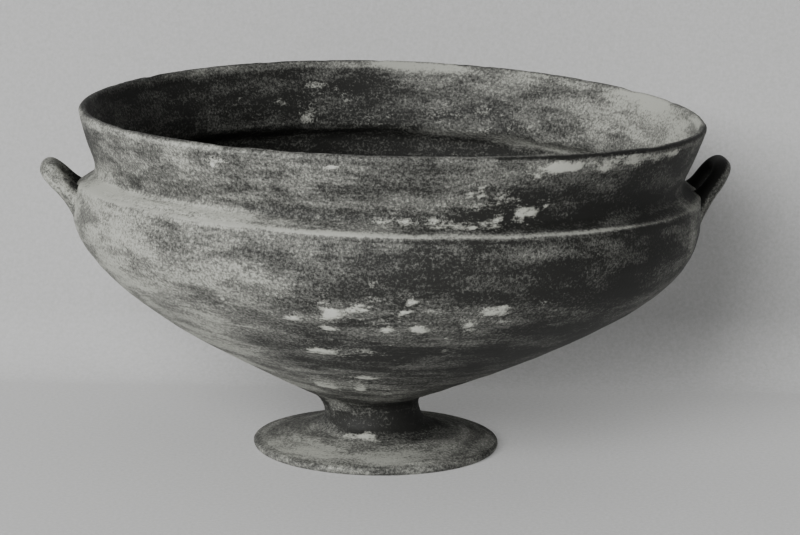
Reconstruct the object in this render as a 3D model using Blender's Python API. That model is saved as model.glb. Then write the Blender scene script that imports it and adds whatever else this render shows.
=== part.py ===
"""Stemmed drinking bowl of fired clay, thrown on a wheel, with two small loop handles.

Foot, stem, bowl, neck and handles were joined while the clay was damp, so the vessel is one solid.
Lengths are in metres and angles in degrees. +Z is up, and +X points to the right handle.
Heights are measured from the table. The outline is drawn true and round first; then the slump of
the soft bowl bends it, a little more at every height.
"""

import math

import bpy
import numpy as np

# Foot: a low disc with a rounded edge, hollowed underneath, standing on a flat ring
foot_radius = 0.0477
foot_edge_height = 0.0032
foot_ring_width = 0.0110
foot_hollow_depth = 0.0050
foot_slope_radius = 0.0245
foot_slope_height = 0.0078

# Stem: a short waist between foot and bowl
stem_radius = 0.0186
stem_waist_height = 0.0155
stem_foot_rise = 0.0015
stem_flare = 0.0050

# Bowl: from the stem out to a sharp crest, as one full curve
crest_radius = 0.1199
crest_height = 0.1050
crest_round = 0.0006
bowl_start_deg = 24.2
bowl_start_pull = 0.1174
bowl_start_radius = 0.0265
bowl_start_height = 0.0239
bowl_crest_deg = 91.4
bowl_crest_pull = 0.0149
bowl_wall = 0.0045
floor_thickness = 0.0085
floor_radius = 0.0420
floor_fullness = 0.38

# Neck: a sloping ledge above the crest, a hollow curve, then a wall that flares to the lip
ledge_width = 0.0056
ledge_rise = 0.0036
neck_radius = 0.1122
neck_foot_rise = 0.0049
neck_curve_rise = 0.0098
neck_curve_radius = 0.1140
neck_bend_radius = 0.1173
neck_bend_rise = 0.0175
rim_radius = 0.1200
rim_height = 0.1332
lip_thickness = 0.0031
neck_wall = 0.0040
neck_inside_rise = 0.0042

# Slump of the soft bowl. Each row is a height, how far the axis has drifted towards +X there, how
# many degrees the bowl leans down towards +X, and how far its sides hang below front and back
slump_rows = (
    (stem_waist_height / 2, 0.0, 0.0, 0.0),
    (stem_waist_height, -0.0018, 0.0, 0.0),
    (bowl_start_height, -0.0047, 2.4, 0.0),
    (0.0500, -0.0023, 2.05, 0.00024),
    (0.0760, 0.0020, 1.6, 0.00055),
    (crest_height, 0.0039, 1.1, 0.00108),
    (rim_height, 0.0048, 0.93, 0.00154),
)

# Dip: where the left handle was pressed on, the crest and the foot of the neck have sunk
dip_depth = 0.0040
dip_azimuth = 168.0
dip_spread = 22.0
dip_bottom = 0.0500

# Handles: a round rod bent into a flat loop, its two roots spread on the bowl below the crest
rod_radius = 0.0036
leg_spacing = 0.0210
loop_corner_radius = 0.0080
loop_corner_limit = 0.9
root_half_width = 0.0056
root_half_height = 0.0088
root_drop = 0.0016
root_spread = 0.0100
handle_turn = 4.0
left_reach = 0.0162
left_rise = 44.0
left_root_below_crest = 0.0062
right_reach = 0.0177
right_rise = 53.5
right_root_below_crest = 0.0045

# Facets
around = 64
rod_sides = 12
smooth_angle = 35.0

# Colour: worn grey slip over clay, from a photograph without colour
clay_grey = (0.140, 0.140, 0.134, 1.0)
clay_roughness = 0.88


def clear_scene():
    """Remove every object that is in the scene at the start."""
    for old in list(bpy.data.objects):
        bpy.data.objects.remove(old, do_unlink=True)


def curve(controls, count):
    """Read count points along a Bezier curve, without its first control point."""
    steps = np.linspace(0.0, 1.0, count + 1)[1:, None]
    points = [np.broadcast_to(np.array(control, float), (count, 2)) for control in controls]
    while len(points) > 1:
        points = [a * (1.0 - steps) + b * steps for a, b in zip(points, points[1:])]
    return points[0]


def arc(centre, radius, start, stop, count):
    """Read count + 1 points along an arc; angles run from +r towards +z."""
    angles = np.radians(np.linspace(start, stop, count + 1))
    return np.column_stack([centre[0] + radius * np.cos(angles), centre[1] + radius * np.sin(angles)])


def direction(angle):
    """Return the unit vector at an angle from +r towards +z."""
    return np.array([math.cos(math.radians(angle)), math.sin(math.radians(angle))])


def beside(points, distances):
    """Shift each point square to the line, towards the vessel's inside."""
    along = np.gradient(points, axis=0)
    along /= np.linalg.norm(along, axis=1)[:, None]
    inward = np.column_stack([-along[:, 1], along[:, 0]])
    return points + inward * np.asarray(distances)[:, None]


def bowl_curve(count):
    """Outside of the bowl, from above the stem to the crest."""
    start = np.array([bowl_start_radius, bowl_start_height])
    crest = np.array([crest_radius, crest_height])
    return curve(
        [
            start,
            start + bowl_start_pull * direction(bowl_start_deg),
            crest - bowl_crest_pull * direction(bowl_crest_deg),
            crest,
        ],
        count,
    )


def neck_curve(count):
    """Outside of the neck, from above its hollow curve to the lip."""
    return curve(
        [
            (neck_curve_radius, crest_height + neck_curve_rise),
            (neck_bend_radius, crest_height + neck_bend_rise),
            (rim_radius, rim_height - lip_thickness / 2),
        ],
        count,
    )


def foot_outline():
    """Underside, resting ring, rounded edge and sloping top of the foot."""
    ring_inside = foot_radius - foot_ring_width
    hollow = np.linspace(0.0, 1.0, 5)
    edge_round = foot_edge_height / 2
    return np.vstack(
        [
            np.column_stack([ring_inside * hollow, foot_hollow_depth * (1.0 - hollow**2)]),
            arc((foot_radius - edge_round, edge_round), edge_round, -90.0, 90.0, 4),
            [(foot_slope_radius, foot_slope_height)],
        ]
    )


def stem_outline():
    """Hollow curve from the foot up to the waist, and out to the bowl."""
    slope_end = np.array([foot_slope_radius, foot_slope_height])
    waist = np.array([stem_radius, stem_waist_height])
    bowl_start = np.array([bowl_start_radius, bowl_start_height])
    foot_side = curve([slope_end, (stem_radius, foot_slope_height + stem_foot_rise), waist], 3)
    bowl_side = curve(
        [waist, waist + (0.0, stem_flare), bowl_start - stem_flare * direction(bowl_start_deg), bowl_start],
        3,
    )
    return np.vstack([foot_side, bowl_side])


def neck_foot_curve(count):
    """Outside of the hollow curve where the ledge turns up into the neck."""
    return curve(
        [
            (crest_radius - ledge_width, crest_height + ledge_rise),
            (neck_radius, crest_height + neck_foot_rise),
            (neck_curve_radius, crest_height + neck_curve_rise),
        ],
        count,
    )


def neck_outline():
    """Rounded crest, ledge, hollow curve and flaring wall of the neck."""
    crest = np.array([crest_radius, crest_height])
    ledge_end = crest + (-ledge_width, ledge_rise)
    along_ledge = (ledge_end - crest) / np.linalg.norm(ledge_end - crest)
    return np.vstack([[crest + crest_round * along_ledge, ledge_end], neck_foot_curve(4), neck_curve(4)])


def outside_outline():
    """Whole outside, from the centre of the underside to the lip."""
    bowl = bowl_curve(13)
    bowl[-1] -= crest_round * direction(bowl_crest_deg)
    return np.vstack([foot_outline(), stem_outline(), bowl, neck_outline()])


def inside_outline():
    """Whole inside, from the lip down over the shoulder to the centre of the floor."""
    neck = neck_curve(4)
    neck_inside = beside(neck, np.linspace(neck_wall, lip_thickness, len(neck)))[::-1]
    neck_foot = np.array([neck_foot_curve(4)[:, 0].min() - neck_wall, crest_height + neck_inside_rise])
    bowl = bowl_curve(60)
    bowl_inside = beside(bowl, np.full(len(bowl), bowl_wall))
    kept = (bowl_inside[:, 0] > floor_radius) & (bowl_inside[:, 1] < crest_height - bowl_wall)
    bowl_inside = bowl_inside[kept][::-1][::5]
    shoulder = curve(
        [
            neck_foot,
            (neck_foot[0], crest_height),
            (bowl_inside[0, 0], crest_height),
            bowl_inside[0],
        ],
        5,
    )
    floor_edge = bowl_inside[-1]
    slope = (floor_edge - bowl_inside[-2]) / np.linalg.norm(floor_edge - bowl_inside[-2])
    floor_height = stem_waist_height + stem_flare + floor_thickness
    floor = curve(
        [
            floor_edge,
            floor_edge + floor_fullness * floor_radius * slope,
            (floor_fullness * floor_radius, floor_height),
            (0.0, floor_height),
        ],
        5,
    )
    return np.vstack([neck_inside, [neck_foot], shoulder, bowl_inside[1:], floor])


def lip_outline():
    """Half-round top of the lip, leaning with the neck."""
    neck = neck_curve(4)
    outer = neck[-1]
    inner = beside(neck, np.full(len(neck), lip_thickness))[-1]
    across = math.degrees(math.atan2(outer[1] - inner[1], outer[0] - inner[0]))
    return arc((outer + inner) / 2, lip_thickness / 2, across, across + 180.0, 4)[1:-1]


def slump(radius, azimuth, height):
    """Bend true round points, given as radius, azimuth and height, into the slumped vessel."""
    heights, drifts, leans, sags = zip(*slump_rows)
    drift = np.interp(height, heights, drifts)
    lean = np.radians(np.interp(height, heights, leans))
    sag = np.interp(height, heights, sags)
    off_dip = np.degrees(np.angle(np.exp(1j * (azimuth - math.radians(dip_azimuth)))))
    dip = np.interp(height, [dip_bottom, crest_height, rim_height], [0.0, dip_depth, 0.0])
    dip = dip * np.exp(-((off_dip / dip_spread) ** 2))
    across = radius * np.cos(azimuth)
    return np.stack(
        [
            drift + across * np.cos(lean),
            radius * np.sin(azimuth),
            height - across * np.sin(lean) - sag * np.cos(2.0 * azimuth) - dip,
        ],
        axis=-1,
    )


def turned_mesh(name, outline):
    """Turn an outline that starts and ends on the axis into a closed mesh."""
    azimuths = np.linspace(0.0, 2.0 * math.pi, around, endpoint=False)
    middle = outline[1:-1]
    rows = slump(middle[:, :1], azimuths[None, :], middle[:, 1:])
    poles = slump(np.zeros(2), np.zeros(2), outline[[0, -1], 1])
    points = np.vstack([rows.reshape(-1, 3), poles])
    bottom, top = len(points) - 2, len(points) - 1
    faces = []
    for j in range(around):
        k = (j + 1) % around
        faces.append((bottom, k, j))
        for i in range(len(middle) - 1):
            faces.append((i * around + j, i * around + k, (i + 1) * around + k, (i + 1) * around + j))
        last = (len(middle) - 1) * around
        faces.append((last + j, last + k, top))
    return new_mesh(name, points, faces)


def wall_middle(azimuth, height):
    """Return points halfway through the vessel's wall, at azimuths and heights above the stem."""
    outside = outside_outline()
    inside = inside_outline()[::-1]
    above_stem = outside[outside[:, 1] > bowl_start_height]
    outer = np.interp(height, above_stem[:, 1], above_stem[:, 0])
    inner = np.interp(height, inside[:, 1], inside[:, 0])
    return slump((outer + inner) / 2, azimuth, height)


def loop_path(reach):
    """Points and directions along the flat loop: out along one leg, across the tip and back."""
    half = leg_spacing / 2
    corner = min(loop_corner_radius, loop_corner_limit * half, loop_corner_limit * reach)
    legs = np.linspace(0.0, reach - corner, 6)[:-1]
    bend = arc((reach - corner, corner - half), corner, -90.0, 0.0, 4)
    side = np.vstack([np.column_stack([legs, np.full(len(legs), -half)]), bend])
    points = np.vstack([side, (side * (1.0, -1.0))[::-1]])
    along = np.gradient(points, axis=0)
    along[0] = (1.0, 0.0)
    along[-1] = (-1.0, 0.0)
    return points, along / np.linalg.norm(along, axis=1)[:, None]


def handle_mesh(name, azimuth, rise, reach, root_height):
    """Sweep the rod along its loop, and spread both ends out over the middle of the bowl's wall."""
    centre = math.radians(azimuth)
    slope = math.radians(rise)
    root = wall_middle(centre, root_height)
    outward = np.array([math.cos(centre), math.sin(centre), 0.0])
    sideways = np.array([-math.sin(centre), math.cos(centre), 0.0])
    up = np.array([0.0, 0.0, 1.0])
    climb = math.cos(slope) * outward + math.sin(slope) * up
    above = math.cos(slope) * up - math.sin(slope) * outward
    turns = np.linspace(0.0, 2.0 * math.pi, rod_sides, endpoint=False)
    spread_heights = root_height - root_drop + root_half_height * np.sin(turns)
    flat, along = loop_path(reach)
    run = np.concatenate([[0.0], np.cumsum(np.linalg.norm(np.diff(flat, axis=0), axis=1))])
    to_root = np.minimum(run, run[-1] - run)
    rings = []
    for (out, side), (step_out, step_side), distance in zip(flat, along, to_root):
        across = step_out * sideways - step_side * climb
        round_rod = rod_radius * (np.outer(np.cos(turns), across) + np.outer(np.sin(turns), above))
        rod = root + out * climb + side * sideways + round_rod
        facing = math.copysign(1.0, -side)
        spread_sides = math.copysign(leg_spacing / 2, side) + facing * root_half_width * np.cos(turns)
        spread = wall_middle(centre + np.arcsin(spread_sides / crest_radius), spread_heights)
        share = max(0.0, 1.0 - distance / root_spread) ** 2
        rings.append(rod * (1.0 - share) + spread * share)
    faces = [tuple(reversed(range(rod_sides)))]
    for i in range(len(rings) - 1):
        low, high = i * rod_sides, (i + 1) * rod_sides
        for j in range(rod_sides):
            k = (j + 1) % rod_sides
            faces.append((low + j, low + k, high + k, high + j))
    last = (len(rings) - 1) * rod_sides
    faces.append(tuple(range(last, last + rod_sides)))
    return new_mesh(name, np.vstack(rings), faces)


def new_mesh(name, points, faces):
    """Make a mesh from points and faces."""
    mesh = bpy.data.meshes.new(name)
    mesh.from_pydata(points.tolist(), [], faces)
    mesh.validate()
    return mesh


def clay():
    """Make the vessel's material."""
    material = bpy.data.materials.new("worn grey slip on fired clay")
    material.use_nodes = True
    shader = material.node_tree.nodes["Principled BSDF"]
    shader.inputs["Base Color"].default_value = clay_grey
    shader.inputs["Roughness"].default_value = clay_roughness
    shader.inputs["Metallic"].default_value = 0.0
    return material


def place(mesh, offset):
    """Put a mesh in the scene as an object of the same name."""
    thing = bpy.data.objects.new(mesh.name, mesh)
    thing.location = offset
    bpy.context.collection.objects.link(thing)
    return thing


def join_to(vessel, handle):
    """Join a handle to the vessel, and keep the handle itself only as a guide."""
    handle.display_type = "WIRE"
    handle.hide_render = True
    union = vessel.modifiers.new(handle.name, "BOOLEAN")
    union.operation = "UNION"
    union.solver = "EXACT"
    union.object = handle


def build():
    """Build the vessel with its bounding box centred over the origin."""
    clear_scene()
    left_root = crest_height - left_root_below_crest
    right_root = crest_height - right_root_below_crest
    outline = np.vstack([outside_outline(), lip_outline(), inside_outline()])
    meshes = [
        turned_mesh("kylix_cup", outline),
        handle_mesh("left_handle", 180.0 + handle_turn, left_rise, left_reach, left_root),
        handle_mesh("right_handle", handle_turn, right_rise, right_reach, right_root),
    ]
    corners = np.array([vertex.co[:] for mesh in meshes for vertex in mesh.vertices])
    middle = (corners.min(axis=0) + corners.max(axis=0)) / 2
    for mesh in meshes:
        mesh.shade_smooth()
    vessel, left_handle, right_handle = [place(mesh, (-middle[0], -middle[1], 0.0)) for mesh in meshes]
    vessel.data.materials.append(clay())
    vessel.data.set_sharp_from_angle(angle=math.radians(smooth_angle))
    join_to(vessel, left_handle)
    join_to(vessel, right_handle)


build()
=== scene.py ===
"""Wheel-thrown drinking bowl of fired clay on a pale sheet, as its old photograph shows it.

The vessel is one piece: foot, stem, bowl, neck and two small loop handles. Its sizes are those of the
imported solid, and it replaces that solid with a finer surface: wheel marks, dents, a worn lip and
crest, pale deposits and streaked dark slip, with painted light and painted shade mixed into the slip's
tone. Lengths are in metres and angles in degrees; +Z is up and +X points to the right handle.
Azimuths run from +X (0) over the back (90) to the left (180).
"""

import logging
import math
from dataclasses import dataclass, field
from enum import Enum, IntEnum
from typing import Any

import bpy
import numpy as np
from mathutils import Matrix, Vector


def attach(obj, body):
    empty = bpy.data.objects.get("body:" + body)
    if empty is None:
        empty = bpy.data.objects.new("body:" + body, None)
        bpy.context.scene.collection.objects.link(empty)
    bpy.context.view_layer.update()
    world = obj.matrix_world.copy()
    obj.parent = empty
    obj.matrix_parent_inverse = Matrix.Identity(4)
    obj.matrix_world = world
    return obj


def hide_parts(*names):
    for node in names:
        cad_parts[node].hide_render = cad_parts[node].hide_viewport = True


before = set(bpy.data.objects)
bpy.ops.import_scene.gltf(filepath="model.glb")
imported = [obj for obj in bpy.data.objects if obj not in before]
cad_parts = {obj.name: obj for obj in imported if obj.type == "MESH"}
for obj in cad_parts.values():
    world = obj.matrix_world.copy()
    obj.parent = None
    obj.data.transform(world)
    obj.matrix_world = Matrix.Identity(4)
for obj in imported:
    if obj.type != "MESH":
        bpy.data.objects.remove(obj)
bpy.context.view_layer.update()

LOG = logging.getLogger("vessel")
Rows = tuple[tuple[float, ...], ...]


def linear(hex_colour: str) -> tuple[float, float, float, float]:
    """Turn an sRGB hex colour into linear red, green and blue with full alpha.

    Args:
        hex_colour: six hex digits, such as "8c8a84".

    Returns:
        The linear colour with alpha 1.
    """
    channels = [int(hex_colour[i : i + 2], 16) / 255 for i in (0, 2, 4)]
    shares = [c / 12.92 if c <= 0.04045 else ((c + 0.055) / 1.055) ** 2.4 for c in channels]
    return (*shares, 1.0)


def add_node(
    tree: bpy.types.NodeTree,
    kind: str,
    settings: dict[str, Any] | None = None,
    inputs: dict[str | int, Any] | None = None,
    output: str | int = 0,
) -> bpy.types.NodeSocket:
    """Add a node, set its settings, and fill or link its inputs.

    Args:
        tree: the node tree that gets the node.
        kind: the node's type name.
        settings: properties of the node and their values.
        inputs: for each input, a value to set or an output socket to link.
        output: the name or number of the output that the caller needs.

    Returns:
        That output socket of the new node.
    """
    node = tree.nodes.new(kind)
    for name, value in (settings or {}).items():
        setattr(node, name, value)
    for key, value in (inputs or {}).items():
        if isinstance(value, bpy.types.NodeSocket):
            tree.links.new(value, node.inputs[key])
        else:
            node.inputs[key].default_value = value
    return node.outputs[output]


def bezier(controls: list[Any], count: int) -> np.ndarray:
    """Read points along a Bezier curve, without its first control point.

    Each pass puts a new point at the share t between neighbouring points, until one is left.

    Args:
        controls: the control points, each (radius, height).
        count: how many points to read, the last control point included.

    Returns:
        Array (count, 2).
    """
    steps = np.linspace(0.0, 1.0, count + 1)[1:, None]
    points = [np.broadcast_to(np.array(control, float), (count, 2)) for control in controls]
    while len(points) > 1:
        points = [a * (1.0 - steps) + b * steps for a, b in zip(points, points[1:])]
    return points[0]


def arc(centre: Any, radius: float, start: float, stop: float, count: int) -> np.ndarray:
    """Read count + 1 points along an arc: centre + radius (cos a, sin a), a from start to stop."""
    angles = np.radians(np.linspace(start, stop, count + 1))
    return np.column_stack([centre[0] + radius * np.cos(angles), centre[1] + radius * np.sin(angles)])


def heading(angle: float) -> np.ndarray:
    """Return the unit vector (cos a, sin a) at an angle from +r towards +z."""
    return np.array([math.cos(math.radians(angle)), math.sin(math.radians(angle))])


def beside(points: np.ndarray, distances: Any) -> np.ndarray:
    """Shift each point of a line square to the line, to its left, by its own distance."""
    along = np.gradient(points, axis=0)
    along /= np.linalg.norm(along, axis=1)[:, None]
    left = np.column_stack([-along[:, 1], along[:, 0]])
    return points + left * np.broadcast_to(distances, len(points))[:, None]


def lattice_noise(points: np.ndarray, cell: float, seed: int) -> np.ndarray:
    """Smooth random values, one octave, the same on every run.

    Each corner of a cubic lattice gets a value from -1 to 1 by an integer hash of its place, and a
    point takes the mean of the 8 corners around it, weighted by 3t^2 - 2t^3 along each axis.

    Args:
        points: array (..., 3) of places in metres.
        cell: lattice spacing in metres, about the size of one bump.
        seed: picks another set of values.

    Returns:
        Array of the points' shape without its last axis.
    """
    scaled = np.asarray(points) / cell
    base = np.floor(scaled).astype(np.int64)
    part = scaled - base
    weight = part * part * (3.0 - 2.0 * part)
    total = np.zeros(scaled.shape[:-1])
    for corner in np.ndindex(2, 2, 2):
        at = base + corner
        key = at[..., 0] * 73856093 ^ at[..., 1] * 19349663 ^ at[..., 2] * 83492791 ^ seed * 2654435761
        key = (key ^ (key >> 13)) * 1274126177 & 0x7FFFFFFF
        key = (key ^ (key >> 15)) * 2246822519 & 0x7FFFFFFF
        share = np.prod(np.where(corner, weight, 1.0 - weight), axis=-1)
        total += share * (key / 0x3FFFFFFF - 1.0)
    return total


def smooth_step(values: np.ndarray, low: float, high: float) -> np.ndarray:
    """Return 0 below low, 1 above high, and 3t^2 - 2t^3 between them."""
    t = np.clip((values - low) / (high - low), 0.0, 1.0)
    return t * t * (3.0 - 2.0 * t)


class Side(Enum):
    """Which side of the wall a mark lies on."""

    OUTSIDE = 0
    INSIDE = 1


class Layer(Enum):
    """What a mark does to the surface, by the name of the attribute that holds it."""

    # Lime deposits; on the crest and the upward-facing ledge they are also a painted highlight
    LIME_AND_HIGHLIGHT = "lime_deposit_and_painted_highlight"
    # Wear of the slip, with painted light and painted shade mixed into the same layer
    WEAR_LIGHT_AND_SHADE = "slip_wear_and_painted_light_shade"


class Seed(IntEnum):
    """Seeds of the noises that shape the surface."""

    RINGS = 3
    FINE_RINGS = 4
    DENTS = 5
    FINE_DENTS = 6
    CHIPS = 7
    FINE_CHIPS = 8
    SQUEEZE = 11


@dataclass(frozen=True)
class Mark:
    """A soft-edged ragged oval of wear, deposit, painted light or painted shade on the wall.

    Its strength falls from the centre as exp(-d^4), where d is the distance in half sizes plus a
    little noise. Negative values darken: slip that has stayed thick and dark in some marks, painted
    shade in others.
    """

    layer: Layer
    side: Side
    azimuth: float
    height: float
    half_width: float
    half_length: float
    strength: float = 1.0
    ragged: float = 0.35

    def share(self, around: np.ndarray, up: np.ndarray, seed: int) -> np.ndarray:
        """Return the mark's strength at places on the wall.

        Args:
            around: distances from the mark's centre around the wall, in metres.
            up: distances from it along the outline.
            seed: picks the noise of its edge.

        Returns:
            Array of strengths.
        """
        local = np.stack(np.broadcast_arrays(around / self.half_width, up / self.half_length, 0.5), axis=-1)
        distance = np.hypot(local[..., 0], local[..., 1])
        near = distance < 2.5
        distance[near] += self.ragged * lattice_noise(local[near], 0.7, seed)
        return self.strength * np.exp(-np.clip(distance, 0.0, 3.0) ** 4)


def marks(layer: Layer, side: Side, *rows: tuple[float, ...]) -> tuple[Mark, ...]:
    """Make the marks of one layer on one side of the wall.

    Args:
        layer: what they do to the surface.
        side: where they lie.
        rows: for each mark its azimuth, its height, half width and half length in mm, and where they
            aren't the usual ones, its strength and raggedness.

    Returns:
        The marks, in the order of the rows.
    """
    return tuple(Mark(layer, side, row[0], *(mm / 1000.0 for mm in row[1:4]), *row[4:]) for row in rows)


@dataclass
class Wall:
    """A grid of places on a wall: what every method that shapes or marks it needs.

    radius and height are those of the true round outline, and along is the length along it.
    """

    azimuth: np.ndarray
    radius: np.ndarray
    height: np.ndarray
    along: np.ndarray
    inside: np.ndarray


@dataclass
class Outline:
    """Sizes of the turned vessel, and the lines that it is turned from."""

    foot_radius: float = 0.0477
    foot_edge_height: float = 0.0032
    foot_ring_width: float = 0.0110
    foot_hollow_depth: float = 0.0050
    foot_slope_radius: float = 0.0245
    foot_slope_height: float = 0.0078
    stem_radius: float = 0.0186
    stem_waist_height: float = 0.0155
    stem_foot_rise: float = 0.0015
    stem_flare: float = 0.0050
    crest_radius: float = 0.1199
    crest_height: float = 0.1050
    crest_round: float = 0.0006
    bowl_start_deg: float = 24.2
    bowl_start_pull: float = 0.1174
    bowl_start_radius: float = 0.0265
    bowl_start_height: float = 0.0239
    bowl_crest_deg: float = 91.4
    bowl_crest_pull: float = 0.0149
    bowl_wall: float = 0.0045
    floor_thickness: float = 0.0085
    floor_radius: float = 0.0420
    floor_fullness: float = 0.38
    ledge_width: float = 0.0056
    ledge_rise: float = 0.0036
    neck_radius: float = 0.1122
    neck_foot_rise: float = 0.0049
    neck_curve_rise: float = 0.0098
    neck_curve_radius: float = 0.1140
    neck_bend_radius: float = 0.1173
    neck_bend_rise: float = 0.0175
    rim_radius: float = 0.1200
    rim_height: float = 0.1332
    lip_thickness: float = 0.0031
    neck_wall: float = 0.0040
    neck_inside_rise: float = 0.0042
    crest_blend: float = 0.0011
    neck_points: int = 15
    neck_foot_points: int = 8
    bowl_points: int = 74
    inside_points: int = 400
    inside_step: int = 8

    def bowl_curve(self, count: int) -> np.ndarray:
        """Outside of the bowl, from above the stem to the crest: one cubic Bezier curve."""
        start = np.array([self.bowl_start_radius, self.bowl_start_height])
        crest = np.array([self.crest_radius, self.crest_height])
        lower = start + self.bowl_start_pull * heading(self.bowl_start_deg)
        upper = crest - self.bowl_crest_pull * heading(self.bowl_crest_deg)
        return bezier([start, lower, upper, crest], count)

    def neck_curve(self) -> np.ndarray:
        """Outside of the neck, from above its hollow curve to the lip: a quadratic Bezier curve."""
        foot = (self.neck_curve_radius, self.crest_height + self.neck_curve_rise)
        bend = (self.neck_bend_radius, self.crest_height + self.neck_bend_rise)
        top = (self.rim_radius, self.rim_height - self.lip_thickness / 2)
        return bezier([foot, bend, top], self.neck_points)

    def neck_foot_curve(self) -> np.ndarray:
        """Outside of the hollow curve where the ledge turns up into the neck."""
        ledge = (self.crest_radius - self.ledge_width, self.crest_height + self.ledge_rise)
        hollow = (self.neck_radius, self.crest_height + self.neck_foot_rise)
        top = (self.neck_curve_radius, self.crest_height + self.neck_curve_rise)
        return bezier([ledge, hollow, top], self.neck_foot_points)

    def foot(self) -> np.ndarray:
        """Underside, resting ring, rounded edge and sloping top of the foot, from the axis."""
        ring_inside = self.foot_radius - self.foot_ring_width
        hollow = np.linspace(0.0, 1.0, 12)
        edge = self.foot_edge_height / 2
        slope = np.linspace(0.0, 1.0, 12)[1:, None]
        rounded = arc((self.foot_radius - edge, edge), edge, -90.0, 90.0, 8)
        slope_end = np.array([self.foot_slope_radius, self.foot_slope_height])
        under = np.column_stack([ring_inside * hollow, self.foot_hollow_depth * (1.0 - hollow**2)])
        return np.vstack([under, rounded, rounded[-1] + (slope_end - rounded[-1]) * slope])

    def stem(self) -> np.ndarray:
        """Hollow curve from the foot up to the waist, and out to the bowl."""
        slope_end = (self.foot_slope_radius, self.foot_slope_height)
        waist = np.array([self.stem_radius, self.stem_waist_height])
        start = np.array([self.bowl_start_radius, self.bowl_start_height])
        hollow = (self.stem_radius, self.foot_slope_height + self.stem_foot_rise)
        lower = bezier([slope_end, hollow, waist], 7)
        out = start - self.stem_flare * heading(self.bowl_start_deg)
        return np.vstack([lower, bezier([waist, waist + (0.0, self.stem_flare), out, start], 7)])

    def crest(self) -> np.ndarray:
        """Worn crest and ledge: a quadratic curve around the sharp crest, then the sloping ledge."""
        crest = np.array([self.crest_radius, self.crest_height])
        ledge_end = crest + (-self.ledge_width, self.ledge_rise)
        inward = (ledge_end - crest) / np.linalg.norm(ledge_end - crest)
        before = crest - self.crest_blend * heading(self.bowl_crest_deg)
        after = crest + self.crest_blend * inward
        rounded = np.vstack([before, bezier([before, crest, after], 4)])
        steps = np.linspace(0.0, 1.0, 5)[1:, None]
        return np.vstack([rounded, after + (ledge_end - after) * steps])

    def outside(self) -> np.ndarray:
        """Whole outside, from the centre of the underside to the lip."""
        bowl = self.bowl_curve(self.bowl_points)
        bowl = bowl[bowl[:, 1] < self.crest_height - 1.6 * self.crest_blend]
        parts = [self.foot(), self.stem(), bowl, self.crest(), self.neck_foot_curve(), self.neck_curve()]
        return np.vstack(parts)

    def lip(self) -> np.ndarray:
        """Half-round top of the lip, leaning with the neck."""
        neck = self.neck_curve()
        outer, inner = neck[-1], beside(neck, self.lip_thickness)[-1]
        across = math.degrees(math.atan2(outer[1] - inner[1], outer[0] - inner[0]))
        return arc((outer + inner) / 2, self.lip_thickness / 2, across, across + 180.0, 8)[1:-1]

    def inside(self) -> np.ndarray:
        """Whole inside, from the lip down over the shoulder to the centre of the floor."""
        neck = self.neck_curve()
        neck_inside = beside(neck, np.linspace(self.neck_wall, self.lip_thickness, len(neck)))[::-1]
        neck_edge = self.neck_foot_curve()[:, 0].min() - self.neck_wall
        neck_foot = np.array([neck_edge, self.crest_height + self.neck_inside_rise])
        bowl = beside(self.bowl_curve(self.inside_points), self.bowl_wall)
        kept = (bowl[:, 0] > self.floor_radius) & (bowl[:, 1] < self.crest_height - self.bowl_wall)
        bowl = bowl[kept][::-1][:: self.inside_step]
        turn = [neck_foot, (neck_edge, self.crest_height), (bowl[0, 0], self.crest_height), bowl[0]]
        slope = (bowl[-1] - bowl[-2]) / np.linalg.norm(bowl[-1] - bowl[-2])
        floor_height = self.stem_waist_height + self.stem_flare + self.floor_thickness
        flat = self.floor_fullness * self.floor_radius
        floor = bezier([bowl[-1], bowl[-1] + flat * slope, (flat, floor_height), (0.0, floor_height)], 18)
        return np.vstack([neck_inside, [neck_foot], bezier(turn, 12), bowl[1:], floor])


@dataclass
class Slump:
    """How the soft bowl has bent: by height, a drift of the axis, a lean and a sag, and two dips."""

    rows: Rows = (
        (0.00775, 0.0, 0.0, 0.0),
        (0.0155, -0.0018, 0.0, 0.0),
        (0.0239, -0.0047, 2.4, 0.0),
        (0.0500, -0.0023, 2.05, 0.00024),
        (0.0760, 0.0020, 1.6, 0.00055),
        (0.1050, 0.0039, 1.1, 0.00108),
        (0.1332, 0.0048, 0.93, 0.00154),
    )
    dip_azimuths: tuple[float, ...] = (168.0, 256.0)
    dip_spreads: tuple[float, ...] = (22.0, 34.0)
    dip_rows: Rows = ((0.0500, 0.0, 0.0), (0.1050, 0.0040, 0.0), (0.1332, 0.0, 0.0008))
    foot_centre_x: float = -0.002929

    def bend(self, radius: np.ndarray, azimuth: np.ndarray, height: np.ndarray) -> np.ndarray:
        """Bend true round places into the slumped vessel.

        x = drift + r cos(a) cos(lean), y = r sin(a), and z = height - r cos(a) sin(lean)
        - sag cos(2a) - each dip exp(-(a / spread)^2), with drift, lean, sag and dips read by height.

        Args:
            radius: distances from the axis.
            azimuth: azimuths in radians.
            height: true heights.

        Returns:
            Array (..., 3) of places in the row frame.
        """
        heights, drifts, leans, sags = zip(*self.rows)
        drift = np.interp(height, heights, drifts)
        lean = np.radians(np.interp(height, heights, leans))
        sag = np.interp(height, heights, sags)
        dip_heights, *depths = zip(*self.dip_rows)
        dip = 0.0
        for centre, spread, depth in zip(self.dip_azimuths, self.dip_spreads, depths):
            off = np.degrees(np.angle(np.exp(1j * (azimuth - math.radians(centre)))))
            dip = dip + np.interp(height, dip_heights, depth) * np.exp(-((off / spread) ** 2))
        across = radius * np.cos(azimuth)
        x = self.foot_centre_x + drift + across * np.cos(lean)
        z = height - across * np.sin(lean) - sag * np.cos(2.0 * azimuth) - dip
        return np.stack(np.broadcast_arrays(x, radius * np.sin(azimuth), z), axis=-1)


@dataclass
class Surface:
    """Points, faces and named per-point values of one closed shell."""

    points: np.ndarray
    faces: list[np.ndarray]
    values: dict[str, np.ndarray] = field(default_factory=dict)


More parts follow.
